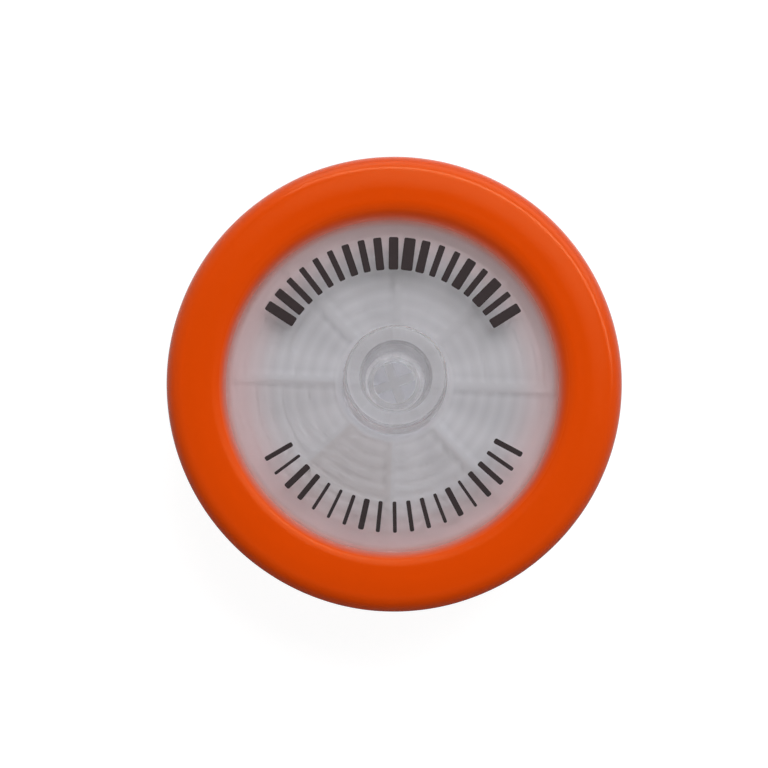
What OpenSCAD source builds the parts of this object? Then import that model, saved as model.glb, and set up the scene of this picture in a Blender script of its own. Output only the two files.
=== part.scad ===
// Disposable 25 mm syringe filter: two welded housing shells, a clamped membrane and an overmoulded ring.
// Z is the flow axis. The tip of the outlet nozzle stands on Z = 0 and the inlet socket opens upwards.

/* [Grip ring] */
// Outside diameter of the ring
ring_d = 30; // [29:0.5:32]
// Height of the ring
ring_h = 5.2; // [5.0:0.1:6.0]
// Height that the ring stands proud of each window face
ring_proud = 0.8; // [0.7:0.05:0.9]
// Radius of the ring's round outer edges
ring_edge_r = 1.3; // [0.8:0.1:1.4]
// Radius of the ring's round inner lips
ring_lip_r = 0.7; // [0.4:0.1:0.7]

/* [Housing] */
// Diameter of the window inside the ring
window_d = 22; // [21.5:0.1:22.4]
// Diameter of the welded rim inside the ring
rim_d = 26.8; // [26.6:0.1:27.2]
// Thickness of each shell's disc
disc_t = 1.0; // [0.9:0.05:1.1]

/* [Membrane] */
// Diameter of the membrane
membrane_d = 25; // [24.8:0.1:25]
// Thickness of the membrane
membrane_t = 0.2; // [0.15:0.05:0.3]

/* [Flow face] */
// Number of radial channels
channel_count = 8; // [6:2:12]
// Width of a radial channel
channel_w = 0.5; // [0.4:0.05:0.7]
// Angle of the first channel from the X axis
channel_angle = -2.25; // [-22.5:0.25:22.5]
// Distance from one concentric rib to the next
rib_pitch = 0.85; // [0.8:0.05:0.9]
// Radius of the innermost rib on the inlet side
inlet_rib_r = 4.17; // [4.1:0.01:4.2]
// Number of ribs on the inlet side
inlet_rib_count = 8; // [4:1:8]

/* [Inlet hub] */
// Height of the hub above the window face
hub_h = 10; // [9.5:0.1:11]
// Outside diameter of the hub at its mouth
hub_d = 6.6; // [6.4:0.1:6.7]
// Diameter of the socket at its mouth
socket_d = 4.29; // [4.27:0.01:4.31]
// Depth of the tapered socket
socket_depth = 8; // [7.5:0.1:8.4]
// Diameter of the flow bore under the socket
flow_bore_d = 2.75; // [2.4:0.05:3.0]

/* [Outlet nozzle] */
// Length of the nozzle below the window face
nozzle_l = 9.6; // [9:0.1:10.5]
// Diameter of the nozzle at its tip
nozzle_d = 3.98; // [3.93:0.01:3.99]
// Diameter of the nozzle's bore
nozzle_bore_d = 2; // [1.6:0.1:2.2]

/* [Hidden] */

$fn = 128;
over = 1;                 // how far a cutting shape reaches past the face that it cuts
weld = 0.1;               // how far a form reaches into the one that it stands on
luer_taper = 0.06;        // change of diameter for each millimetre of length on a Luer cone

// Radii
ring_r = ring_d / 2;
window_r = window_d / 2;
rim_r = rim_d / 2;
membrane_r = membrane_d / 2;
pocket_gap = 0.1;                   // gap round the membrane's edge
pocket_r = membrane_r + pocket_gap; // inside of the lower shell's rim wall
seat_r = 10.75;                     // inner edge of the faces that clamp the membrane
grip_r = 12;                        // where the rim steps down for the ring to hook over
grip_step = 0.35;                   // height of that step
channel_end_r = 10.55;              // outer end of the radial channels

// Heights
z_low = nozzle_l;                                   // lower window face
z_up = z_low + ring_h - 2 * ring_proud;             // upper window face
z_ring = z_low - ring_proud;                        // underside of the ring
z_mid = (z_low + z_up) / 2;
z_membrane = z_mid - membrane_t / 2;                // underside of the membrane
z_membrane_top = z_mid + membrane_t / 2;
z_low_in = z_low + disc_t;                          // inside of the lower disc
z_up_in = z_up - disc_t;                            // inside of the upper disc
z_mouth = z_up + hub_h;                             // mouth of the inlet socket
z_socket_foot = z_mouth - socket_depth;

// Flow ribs
rib_root_w = 0.52;                  // width of a rib where it leaves the disc
rib_tip_w = 0.3;                    // width of a rib at its tip
rib_gap = 0.15;                     // gap between the inlet ribs and the membrane
channel_sink = 0.2;                 // depth of the channels below the foot of the ribs
drain_rib_r = inlet_rib_r - 2 * rib_pitch;
drain_rib_count = inlet_rib_count + 2;

// Crosses in the flared ends of both bores
flare_r = 1.8;                      // radius of each flare where it opens on the membrane
web_w = 0.55;                       // width of the bars
web_angle = channel_angle + 180 / channel_count;
web_rise = 0.3;                     // height of the inlet's cross above the face that looks on the membrane
web_drop = 0.9;                     // depth of the outlet's cross in its flare

// Hub
hub_draft = 0.15;                   // growth of the hub's radius from mouth to foot
hub_edge_r = 0.4;                   // round outer edge of the mouth
hub_fillet_r = 0.5;                 // fillet where the hub meets the disc
mouth_chamfer = 0.2;

// Nozzle
nozzle_edge_r = 0.25;               // round outer edge of the tip
nozzle_fillet_r = 0.8;              // fillet where the nozzle meets the disc
tip_chamfer = 0.15;

ring_colour = [0.86, 0.29, 0.05];
shell_colour = [0.80, 0.79, 0.82, 0.65];
membrane_colour = [0.93, 0.93, 0.93];

// Turns a section in the radius-height plane round the flow axis.
module revolve() {
    rotate_extrude() children();
}

// The waste between a square corner at the origin and a round edge of radius r inside it.
module corner_waste(r) {
    difference() {
        translate([-over, -over]) square(r + over);
        translate([r, r]) circle(r);
    }
}

// The fill between two walls that meet at the origin, leaving a fillet of radius r.
module corner_fill(r) {
    difference() {
        translate([-r / 2, -r / 2]) square(1.5 * r);
        translate([r, r]) circle(r);
    }
}

// Outline of the closed rim of the housing, from radius r0 outwards, with the steps that the ring hooks over.
module rim_section(r0) {
    polygon([
        [r0, z_low], [grip_r, z_low], [grip_r, z_low + grip_step], [rim_r, z_low + grip_step],
        [rim_r, z_up - grip_step], [grip_r, z_up - grip_step], [grip_r, z_up], [r0, z_up]
    ]);
}

module overmould_ring() {
    color(ring_colour) revolve() difference() {
        translate([window_r, z_ring]) square([ring_r - window_r, ring_h]);
        translate([ring_r, z_ring]) mirror([1, 0]) corner_waste(ring_edge_r);
        translate([ring_r, z_ring + ring_h]) rotate(180) corner_waste(ring_edge_r);
        translate([window_r, z_ring]) corner_waste(ring_lip_r);
        translate([window_r, z_ring + ring_h]) mirror([0, 1]) corner_waste(ring_lip_r);
        rim_section(window_r - over);
    }
}

module membrane() {
    color(membrane_colour) translate([0, 0, z_membrane]) cylinder(h = membrane_t, r = membrane_r);
}

// Sections of the concentric ribs. They stand on height z_root and end at z_tip.
module rib_sections(first_r, count, z_root, z_tip) {
    sink = z_tip > z_root ? -weld : weld;
    for (i = [0 : count - 1]) {
        r = first_r + i * rib_pitch;
        polygon([
            [r - rib_root_w / 2, z_root + sink], [r - rib_root_w / 2, z_root], [r - rib_tip_w / 2, z_tip],
            [r + rib_tip_w / 2, z_tip], [r + rib_root_w / 2, z_root], [r + rib_root_w / 2, z_root + sink]
        ]);
    }
}

// Radial channels that cut the ribs, from height z0 to z1. Each bar makes two opposite channels.
module channels(z0, z1) {
    for (i = [0 : channel_count / 2 - 1])
        rotate(channel_angle + i * 360 / channel_count)
            translate([-channel_end_r, -channel_w / 2, z0])
                cube([2 * channel_end_r, channel_w, z1 - z0]);
}

// A cross of two bars from height z0 to z1, in a round hole whose radius is r0 at z0 and r1 at z1.
module cross_web(r0, r1, z0, z1) {
    intersection() {
        translate([0, 0, z0]) cylinder(h = z1 - z0, r1 = r0 + weld, r2 = r1 + weld);
        for (i = [0, 1])
            rotate(web_angle + i * 90)
                translate([-2 * flare_r, -web_w / 2, z0]) cube([4 * flare_r, web_w, z1 - z0]);
    }
}

// The upper disc with the hub on top and the clamp face below.
module inlet_section() {
    hub_r = hub_d / 2;
    difference() {
        union() {
            intersection() {
                rim_section(0);
                translate([0, z_up_in]) square([rim_r, disc_t]);
            }
            translate([seat_r, z_membrane_top]) square([pocket_r - seat_r, z_up_in - z_membrane_top + weld]);
            polygon([
                [0, z_up - weld], [hub_r + hub_draft, z_up - weld], [hub_r + hub_draft, z_up],
                [hub_r, z_mouth], [0, z_mouth]
            ]);
            translate([hub_r + hub_draft, z_up]) corner_fill(hub_fillet_r);
        }
        translate([hub_r, z_mouth]) rotate(180) corner_waste(hub_edge_r);
    }
}

// The tapered socket with its lead-in chamfer, the flow bore below it and the flare at its end.
module inlet_passage() {
    r_mouth = socket_d / 2;
    r_foot = r_mouth - luer_taper / 2 * socket_depth;
    r_chamfer = r_mouth - luer_taper / 2 * mouth_chamfer;
    bore_r = flow_bore_d / 2;
    revolve() polygon([
        [0, z_up_in - over], [flare_r, z_up_in - over], [flare_r, z_up_in], [bore_r, z_up],
        [bore_r, z_socket_foot], [r_foot, z_socket_foot], [r_chamfer, z_mouth - mouth_chamfer],
        [r_mouth + mouth_chamfer, z_mouth], [r_mouth + mouth_chamfer, z_mouth + over], [0, z_mouth + over]
    ]);
}

module inlet_shell() {
    color(shell_colour) union() {
        difference() {
            union() {
                revolve() inlet_section();
                revolve() rib_sections(inlet_rib_r, inlet_rib_count, z_up_in, z_membrane_top + rib_gap);
            }
            channels(z_membrane_top, z_up_in + channel_sink);
            inlet_passage();
        }
        // breaks up the jet that leaves the flow bore
        cross_web(flare_r - web_rise / disc_t * (flare_r - flow_bore_d / 2), flow_bore_d / 2, z_up_in + web_rise, z_up);
    }
}

// The lower disc with the rim wall and seat above and the nozzle below.
module outlet_section() {
    tip_r = nozzle_d / 2;
    root_r = tip_r + luer_taper / 2 * nozzle_l;
    difference() {
        union() {
            intersection() {
                rim_section(0);
                translate([0, z_low]) square([rim_r, z_up_in - z_low]);
            }
            polygon([[0, 0], [tip_r, 0], [root_r, z_low], [root_r, z_low + weld], [0, z_low + weld]]);
            translate([root_r, z_low]) mirror([0, 1]) corner_fill(nozzle_fillet_r);
        }
        translate([0, z_membrane_top]) square([pocket_r, z_up_in - z_membrane_top + over]);
        translate([0, z_membrane]) square([pocket_r, membrane_t + weld]);
        translate([0, z_low_in]) square([seat_r, z_up_in - z_low_in]);
        translate([tip_r, 0]) mirror([1, 0]) corner_waste(nozzle_edge_r);
    }
}

module outlet_passage() {
    bore_r = nozzle_bore_d / 2;
    revolve() polygon([
        [0, -over], [bore_r + tip_chamfer, -over], [bore_r + tip_chamfer, 0], [bore_r, tip_chamfer],
        [bore_r, z_low], [flare_r, z_low_in], [flare_r, z_membrane], [0, z_membrane]
    ]);
}

module outlet_shell() {
    color(shell_colour) union() {
        difference() {
            union() {
                revolve() outlet_section();
                revolve() rib_sections(drain_rib_r, drain_rib_count, z_low_in, z_membrane);
            }
            channels(z_low_in - channel_sink, z_membrane + over);
            outlet_passage();
        }
        // holds the membrane up over the nozzle's bore
        cross_web(flare_r - web_drop / disc_t * (flare_r - nozzle_bore_d / 2), flare_r, z_low_in - web_drop, z_low_in);
        translate([0, 0, z_low_in]) cross_web(flare_r, flare_r, 0, z_membrane - z_low_in);
    }
}

overmould_ring();
inlet_shell();
membrane();
outlet_shell();
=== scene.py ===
"""Looks of a 25 mm syringe filter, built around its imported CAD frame.

The filter stands on the tip of its outlet nozzle, with the inlet socket up. Lengths are in metres.
"""

import math

import bmesh
import bpy
from bpy.props import FloatProperty, FloatVectorProperty, IntProperty, PointerProperty
from bpy.types import Operator, Panel, PropertyGroup
from mathutils import Matrix, Vector


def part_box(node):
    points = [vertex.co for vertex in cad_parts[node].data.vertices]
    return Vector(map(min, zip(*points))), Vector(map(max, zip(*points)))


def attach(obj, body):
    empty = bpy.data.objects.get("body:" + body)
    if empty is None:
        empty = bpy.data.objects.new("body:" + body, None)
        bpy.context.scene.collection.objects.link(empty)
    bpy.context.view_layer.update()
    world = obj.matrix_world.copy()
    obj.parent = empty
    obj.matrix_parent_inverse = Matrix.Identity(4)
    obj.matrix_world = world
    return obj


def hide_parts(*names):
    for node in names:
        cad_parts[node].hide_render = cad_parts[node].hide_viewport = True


bl_info = {
    "name": "Syringe Filter Looks",
    "version": (1, 0, 0),
    "blender": (4, 5, 0),
    "location": "3D View > Sidebar > Filter",
    "description": "Builds the visible pieces of a syringe filter and its studio",
    "category": "Object",
}

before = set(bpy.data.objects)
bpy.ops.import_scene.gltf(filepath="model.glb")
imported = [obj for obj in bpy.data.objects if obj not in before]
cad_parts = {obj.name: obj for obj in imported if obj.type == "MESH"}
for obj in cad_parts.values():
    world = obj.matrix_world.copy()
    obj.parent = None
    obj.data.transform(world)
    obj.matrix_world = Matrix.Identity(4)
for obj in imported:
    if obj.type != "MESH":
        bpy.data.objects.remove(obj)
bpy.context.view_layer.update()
RING_LOW, RING_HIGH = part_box("overmould_ring")
INLET_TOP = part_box("inlet_shell")[1].z
MEMBRANE_LOW, MEMBRANE_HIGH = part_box("membrane")
BODY = "root"

MM = 0.001
BOND = 0.02 * MM  # overlap of moulded-on plastic, and play of what lies loose
TINY = 0.001 * MM  # heights and radii closer than this are the same
DOUBLES = 0.0001 * MM  # points closer than this are one point
SHARP_ANGLE = math.radians(38)

CORNER_STEPS = 4
CROSS_STEPS = 4
RING_CORNER_STEPS = 10
LIP_STEPS = 10
FILM_RINGS = 48
FILM_STEPS = 96
RING_WAVES = {"Wave height": 0.03 * MM, "Waves per metre": 170.0}
FILM_WAVES = {"Wave height": 0.03 * MM, "Waves per metre": 300.0}
PRINT_SEEDS = {"bold": 4, "fine": 9}

# columns of a flow face beside and between its channels, the tones that its plastic shows, and painted light
# and shade beside its channels and in the hub's lip
FLOW_FACE = {
    "Softness": 0.05 * MM,
    "Near width": 0.72 * MM,
    "Near columns": 9,
    "Far columns": 6,
    "Channel milk": 0.1,
    "Painted channel light": 0.75,
    "Light angle": math.radians(66),
    "Painted glow angle": math.radians(175),
    "Painted lip glow": 3.0,
}
MOUTH_LIP = 0.8  # share of the mouth's round edge that gets the painted highlight

PATCHES_PER_MOTTLE = 2.7
RING_FINISH = {"Mottle": 0.03, "Mottles per metre": 180.0, "Gloss patches": 0.05, "Grains per metre": 2600.0}
RING_GRAIN = 0.012 * MM
RING_ROUGHNESS = 0.2
TOE_ROUGHNESS = 0.3
TOE_FEATHER = 0.8 * MM  # width over which the toe's colour turns into the ring's
TOE_COVERED = 0.2 * MM  # width of the covering plastic beside the ring
TOE_SHADOW = 0.5  # share of the light that the toe lets pass
SHELL_FINISH = {"Mottle": 0.02, "Mottles per metre": 260.0, "Gloss patches": 0.04, "Grains per metre": 1800.0}
SHELL_GRAIN = 0.002 * MM
SHELL_SHADOW = 0.97  # share of the light that the shells let pass
DISC_ROUGHNESS = 0.55
HUB_ROUGHNESS = 0.24
HUB_START = (RING_HIGH.z, RING_HIGH.z + 0.3 * MM)  # heights over which the disc's gloss turns to the hub's
RIM_TINT_REACH = (7.5 * MM, 11.0 * MM)  # radii over which the window takes the ring's orange: partly the ring showing through, partly painted orange light from it
FIBRES_PER_METRE = 5200.0
FIBRE_TONE = 0.10
FIBRE_DEPTH = 0.01 * MM
CLOUDS_PER_METRE = 220.0
CLOUD_TONE = 0.06
INK_SPECKS_PER_METRE = 3400.0
INK_TONE = 0.5
INK_ROUGHNESS = 0.4
INK_DRY = 0.2  # how much rougher the ink is where it is thick

# tones of the floor and the sky as lights, and as the glossy surfaces mirror them
FLOOR_TONE = 0.75
FLOOR_MIRRORED = 0.08
FLOOR_SHADOW_COLOUR = (0.22, 0.22, 0.22, 1.0)
FLOOR_GLOW = 0.92
SKY_HORIZON = 0.2
SKY_MIRRORED = 0.03
SKY_ZENITH = 0.3
SKY_RISE = (0.4, 0.95)
SKY_OVERHEAD = (0.9, 0.97)
OVERHEAD_DARK = 0.85
WHITE = (1.0, 1.0, 1.0, 1.0)
LIGHT_SIDE = (math.cos(math.radians(82)), math.sin(math.radians(82)), 0.0)
LIGHT_SIDE_SPAN = (-0.9, 0.8)
DARK_SIDE = 0.08
LAMP_DISTANCE = 0.6
# azimuth and elevation in degrees, width and height
TOP_LAMP = (66, 60, 0.4, 0.4)
STRIP_LAMP = (62, 47, 1.1, 0.09)
SIDE_LAMP = (70, 16, 1.2, 0.3)
CAMERA_TARGET = (-0.68 * MM, -0.03 * MM, 12.9 * MM)
CAMERA_SIDE = (0.16, 0.987)


def number(name, value, description, **settings):
    """A number property, with the unit or limits in its settings."""
    return FloatProperty(name=name, description=description, default=value, **settings)


def length(name, millimetres, description):
    """A length property with its default in millimetres."""
    return number(name, millimetres * MM, description, unit="LENGTH", precision=5)


def angle(name, degrees, description):
    """An angle property with its default in degrees."""
    return number(name, math.radians(degrees), description, subtype="ANGLE", unit="ROTATION")


def colour(name, values, description):
    """A colour property in linear light."""
    return FloatVectorProperty(
        name=name, description=description, default=values, subtype="COLOR", size=3, min=0.0, max=1.0
    )


def count(name, amount, description):
    """A whole number of like features, at least 1."""
    return IntProperty(name=name, description=description, default=amount, min=1)


class RingSizes(PropertyGroup):
    """Section of the overmoulded ring."""

    proud: length("Proud", 0.8, "Height of the ring above the window on each side")
    edge_radius: length("Edge radius", 1.25, "Round of the outer edges")
    crown_radius: length("Crown radius", 13.2, "Where the faces start to fall outwards")
    crown_drop: length("Crown drop", 0.26, "How far the faces fall towards the edge")
    crown_round: length("Crown round", 6.0, "Radius of the bend at the crown")
    toe_radius: length("Toe radius", 10.2, "Where the ring feathers out on the window")
    toe_round: length("Toe round", 1.4, "Hollow round of the feathered toe")
    toe_shift: FloatVectorProperty(
        name="Toe shift",
        description="How far the feathered toe lies off the axis, as moulded",
        default=(-0.13 * MM, -0.18 * MM, 0.0),
        subtype="TRANSLATION",
        unit="LENGTH",
        size=3,
    )
    feather_end: length("Feather end", 11.55, "Where the thin toe becomes fully opaque")
    lip_slope: angle("Lip slope", 45, "Steepest slope between the toe and the lip")
    steps: count("Steps", 288, "Number of steps round the ring")


class ShellSizes(PropertyGroup):
    """Sections that both halves of the housing share."""

    disc_thickness: length("Disc", 1.0, "Thickness of each disc")
    rim_radius: length("Rim radius", 13.4, "Radius of the rim inside the ring")
    grip_radius: length("Grip radius", 12.0, "Where the rim steps down under the ring")
    grip_step: length("Grip step", 0.35, "Height of that step")
    seat_radius: length("Seat radius", 10.75, "Inner edge of the clamp faces")
    pocket_gap: length("Pocket gap", 0.1, "Gap round the membrane's edge")
    soft_edge: length("Soft edge", 0.06, "Round of the edges that are not filleted")
    hub_milk: number("Hub milk", -0.3, "Milkiness of the clear hub's mouth")
    cross_milk: number("Cross milk", -0.2, "Milkiness of the cross in each flare")


class FlowSizes(PropertyGroup):
    """Ribs and channels that face the membrane."""

    channel_count: count("Channels", 8, "Number of radial channels")
    channel_width: length("Channel width", 0.5, "Width of a radial channel")
    channel_sink: length("Channel sink", 0.2, "Depth of a channel below the ribs")
    channel_end: length("Channel end", 10.55, "Radius where the channels end")
    channel_angle: angle("Channel angle", -2.25, "Angle of the first channel")
    rib_pitch: length("Rib pitch", 0.85, "Distance from one rib to the next")
    rib_root: length("Rib root", 0.52, "Width of a rib at its root")
    rib_tip: length("Rib tip", 0.3, "Width of a rib at its tip")
    rib_gap: length("Rib gap", 0.15, "Gap between the inlet ribs and the membrane")
    rib_round: length("Rib round", 0.07, "Round of a rib's tip and root")
    rib_end_round: length("Rib end", 0.16, "Round of a rib's end at a channel")
    inlet_rib_radius: length("Inlet rib", 4.17, "Innermost rib of the inlet half")
    inlet_rib_count: count("Inlet ribs", 8, "Ribs on the inlet half")
    drain_rib_radius: length("Drain rib", 2.47, "Innermost rib of the outlet half")
    drain_rib_count: count("Drain ribs", 10, "Ribs on the outlet half")
    flare_radius: length("Flare", 1.8, "Radius of the flared end of both bores")
    web_width: length("Web width", 0.55, "Width of the cross in each flare")
    web_rise: length("Web rise", 0.3, "Height of the inlet's cross in its flare")
    web_drop: length("Web drop", 0.9, "Depth of the outlet's cross in its flare")


class HubSizes(PropertyGroup):
    """Inlet hub with its Luer socket."""

    radius: length("Radius", 3.3, "Outside radius at the mouth")
    draft: length("Draft", 0.15, "Growth of the radius from mouth to foot")
    edge_radius: length("Edge radius", 0.4, "Round outer edge of the mouth")
    fillet_radius: length("Fillet", 0.5, "Fillet at the foot of the hub")
    socket_radius: length("Socket radius", 2.145, "Radius of the socket's mouth")
    socket_depth: length("Socket depth", 8.0, "Depth of the socket")
    chamfer: length("Chamfer", 0.2, "Lead-in chamfer of the mouth")
    bore_radius: length("Bore radius", 1.375, "Radius of the flow bore")
    taper: number("Taper", 0.06, "Change of diameter for each unit of length on a Luer cone")


class NozzleSizes(PropertyGroup):
    """Outlet nozzle with its Luer cone."""

    radius: length("Radius", 1.99, "Radius at the tip")
    bore_radius: length("Bore radius", 1.0, "Radius of the bore")
    edge_radius: length("Edge radius", 0.25, "Round outer edge of the tip")
    fillet_radius: length("Fillet", 0.8, "Fillet where the nozzle meets the disc")
    chamfer: length("Chamfer", 0.15, "Chamfer of the bore at the tip")


class PrintSizes(PropertyGroup):
    """Two plain rows of printed bars on the inlet disc."""

    thickness: length("Thickness", 0.02, "Thickness of the ink")
    sunk: length("Sunk", 0.01, "How deep the ink is set in the disc")
    corner: length("Corner", 0.12, "Round corners of the bars")
    bold_radius: length("Bold radius", 8.75, "Radius of the row of bold bars")
    bold_height: length("Bold height", 2.15, "Radial height of a bold bar")
    bold_narrow: length("Bold, narrow", 0.35, "Width of the narrowest bold bar")
    bold_wide: length("Bold, wide", 0.78, "Width of the widest bold bar")
    bold_start: angle("Bold start", 32, "Angle of the first bold bar")
    bold_sweep: angle("Bold sweep", 115, "Angle from the first bold bar to the last")
    bold_count: count("Bold bars", 19, "Number of bold bars")
    fine_radius: length("Fine radius", 8.62, "Radius of the row of fine bars")
    fine_height: length("Fine height", 2.05, "Radial height of a fine bar")
    fine_narrow: length("Fine, narrow", 0.2, "Width of the narrowest fine bar")
    fine_wide: length("Fine, wide", 0.42, "Width of the widest fine bar")
    fine_start: angle("Fine start", 210, "Angle of the first fine bar")
    fine_sweep: angle("Fine sweep", 122, "Angle from the first fine bar to the last")
    fine_count: count("Fine bars", 19, "Number of fine bars")


class Finish(PropertyGroup):
    """Colours of the plastics, the membrane and the ink, with the painted shade and the partly painted orange
    light on the milky plastic.
    """

    ring: colour("Ring", (0.665, 0.056, 0.0), "Opaque orange of the ring")
    shell: colour("Shell", (0.79, 0.775, 0.78), "Natural, milky plastic")
    thin: number(
        "Thin plastic", 0.885, "Tone of the plastic where it is thin", subtype="FACTOR", min=0.0, max=1.0
    )
    # partly the orange ring showing through the milky plastic, partly painted orange light from it
    rim_tint: colour("Rim tint", (0.88, 0.69, 0.68), "Plastic right beside the ring")
    # painted shade on the sectors on the far side from the lamps
    shade: colour("Shade", (0.93, 0.87, 0.835), "Tone of a sector that faces away from the light")
    toe: colour("Toe", (0.50, 0.107, 0.064), "Thin orange plastic over the milky window")
    ring_gloss: colour("Ring gloss", (1.0, 0.70, 0.32), "Tint of the ring's reflections")
    membrane: colour("Membrane", (0.448, 0.439, 0.469), "Membrane behind the plastic")
    ink: colour("Ink", (0.022, 0.012, 0.012), "Printing ink")


class Studio(PropertyGroup):
    """Floor, lamps and camera."""

    floor_size: number("Floor", 3.0, "Side of the floor", unit="LENGTH")
    top_power: number("Top lamp", 3.6, "Power of the soft top lamp", unit="POWER")
    strip_power: number("Strip lamp", 2.7, "Power of the long glint", unit="POWER")
    side_power: number("Side lamp", 2.3, "Power of the low glint", unit="POWER")
    glint: colour("Glint", (0.8, 0.9, 1.0), "Colour of both glints")
    camera_distance: number("Camera distance", 0.33, "Distance from the camera to the ring", unit="LENGTH")
    camera_lens: number("Lens", 235.0, "Focal length in millimetres", unit="CAMERA")
    camera_tilt: angle("Camera tilt", 2.45, "Angle between the view and the flow axis")


class FilterLooks(PropertyGroup):
    """All settings of the filter's looks."""

    ring: PointerProperty(type=RingSizes)
    shell: PointerProperty(type=ShellSizes)
    flow: PointerProperty(type=FlowSizes)
    hub: PointerProperty(type=HubSizes)
    nozzle: PointerProperty(type=NozzleSizes)
    ink: PointerProperty(type=PrintSizes)
    finish: PointerProperty(type=Finish)
    studio: PointerProperty(type=Studio)


# Node trees


class Field:
    """An output in a node tree, so that a formula of fields reads as one."""

    def __init__(self, graph, socket):
        self.graph = graph
        self.socket = socket

    def math(self, operation, *others):
        inputs = dict(enumerate((self, *others)))
        return self.graph.field("ShaderNodeMath", inputs, operation=operation)

    def __add__(self, other):
        return self.math("ADD", other)

    def __sub__(self, other):
        return self.math("SUBTRACT", other)

    def __rsub__(self, other):
        return self * -1.0 + other

    def __mul__(self, other):
        return self.math("MULTIPLY", other)

    def __truediv__(self, other):
        return self.math("DIVIDE", other)

    def between(self, low, high):
        """0 below low, 1 above high and smooth between them."""
        span = {"Value": self, "From Min": low, "From Max": high}
        return self.graph.field("ShaderNodeMapRange", span, "Result", interpolation_type="SMOOTHSTEP")

    def sway(self, depth):
        """Noise from 0 to 1 made to sway to both sides of 0."""
        return (self - 0.5) * depth


class Graph:
    """A node tree under construction."""

    def __init__(self, tree):
        self.tree = tree
        self.tree.nodes.clear()

    def add(self, kind, inputs=None, **settings):
        """Adds a node, sets it up and feeds its inputs."""
        node = self.tree.nodes.new(kind)
        for key, value in settings.items():
            setattr(node, key, value)
        self.feed(node, inputs or {})
        return node

    def feed(self, node, inputs):
        """Links or sets a node's inputs, by name or number."""
        for key, value in inputs.items():
            if isinstance(value, Field):
                self.tree.links.new(value.socket, node.inputs[key])
            else:
                node.inputs[key].default_value = value

    def field(self, kind, inputs=None, output=0, **settings):
        """Adds a node and gives one of its outputs as a field."""
        return Field(self, self.add(kind, inputs, **settings).outputs[output])


def node_group(name, kind, inputs, outputs):
    """Makes a node group from names by kind of socket. Returns its graph, its inputs and its output node."""
    tree = bpy.data.node_groups.new(name, kind)
    for direction, sockets in (("INPUT", inputs), ("OUTPUT", outputs)):
        for socket, labels in sockets.items():
            for label in labels:
                tree.interface.new_socket(label, in_out=direction, socket_type="NodeSocket" + socket)
    graph = Graph(tree)
    source = graph.add("NodeGroupInput")
    fields = {label: Field(graph, source.outputs[label]) for labels in inputs.values() for label in labels}
    return graph, fields, graph.add("NodeGroupOutput")


def geometry_tree(name, inputs):
    """A geometry tree that takes a geometry and a material and gives a geometry."""
    sockets = {"Geometry": ("Geometry",), **inputs, "Material": ("Material",)}
    return node_group(name, "GeometryNodeTree", sockets, {"Geometry": ("Geometry",)})


def named(graph, name):
    """A float attribute of the geometry, by name."""
    return graph.field("GeometryNodeInputNamedAttribute", {"Name": name}, data_type="FLOAT")


def store(graph, geometry, name, value):
    """Stores a field as a float attribute on points."""
    inputs = {"Geometry": geometry, "Name": name, "Value": value}
    return graph.field("GeometryNodeStoreNamedAttribute", inputs, data_type="FLOAT", domain="POINT")


def merged(graph, geometry):
    """Makes one point of points that lie together."""
    return graph.field("GeometryNodeMergeByDistance", {"Geometry": geometry, "Distance": DOUBLES})


def moved(graph, geometry, **where):
    """Moves points by an Offset or to a Position."""
    return graph.field("GeometryNodeSetPosition", {"Geometry": geometry, **where})


def scaled(graph, vector, scale):
    """A vector or a colour times a number."""
    return graph.field("ShaderNodeVectorMath", {0: vector, "Scale": scale}, operation="SCALE")


def part_of(graph, vector, axis):
    """The X, Y or Z part of a vector."""
    return graph.field("ShaderNodeSeparateXYZ", {0: vector}, axis)


def finish_tree(graph, output, geometry, material):
    """Ends a tree in plain faces with a material."""
    real = graph.field("GeometryNodeRealizeInstances", {"Geometry": geometry})
    done = graph.field("GeometryNodeSetMaterial", {"Geometry": real, "Material": material})
    graph.feed(output, {0: done})
    return graph.tree


def run_tree(piece, tree, values):
    """Runs a geometry tree on an object and keeps its result as a plain mesh."""
    modifier = piece.modifiers.new(tree.name, "NODES")
    modifier.node_group = tree
    sockets = [item for item in tree.interface.items_tree if item.in_out == "INPUT"]
    identifiers = {socket.name: socket.identifier for socket in sockets}
    for label, value in values.items():
        modifier[identifiers[label]] = value
    bpy.context.view_layer.update()
    evaluated = piece.evaluated_get(bpy.context.evaluated_depsgraph_get())
    result = bpy.data.meshes.new_from_object(evaluated)
    piece.modifiers.remove(modifier)
    piece.data = result


def sweep(graph, section, circle):
    """Sweeps a section round the axis, along a circle that carries the section's angles."""
    profile = graph.field("GeometryNodeMeshToCurve", {"Mesh": section})
    position = graph.field("GeometryNodeInputPosition")
    profile = store(graph, profile, "reach", part_of(graph, position, "X"))
    profile = store(graph, profile, "height", part_of(graph, position, "Z"))
    return graph.field("GeometryNodeCurveToMesh", {"Curve": circle, "Profile Curve": profile})


def set_polar(graph, geometry, reach, turn, height):
    """Moves points to a radius, an angle and a height."""
    parts = {"X": reach * turn.math("COSINE"), "Y": reach * turn.math("SINE"), "Z": height}
    return moved(graph, geometry, Position=graph.field("ShaderNodeCombineXYZ", parts))


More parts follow.
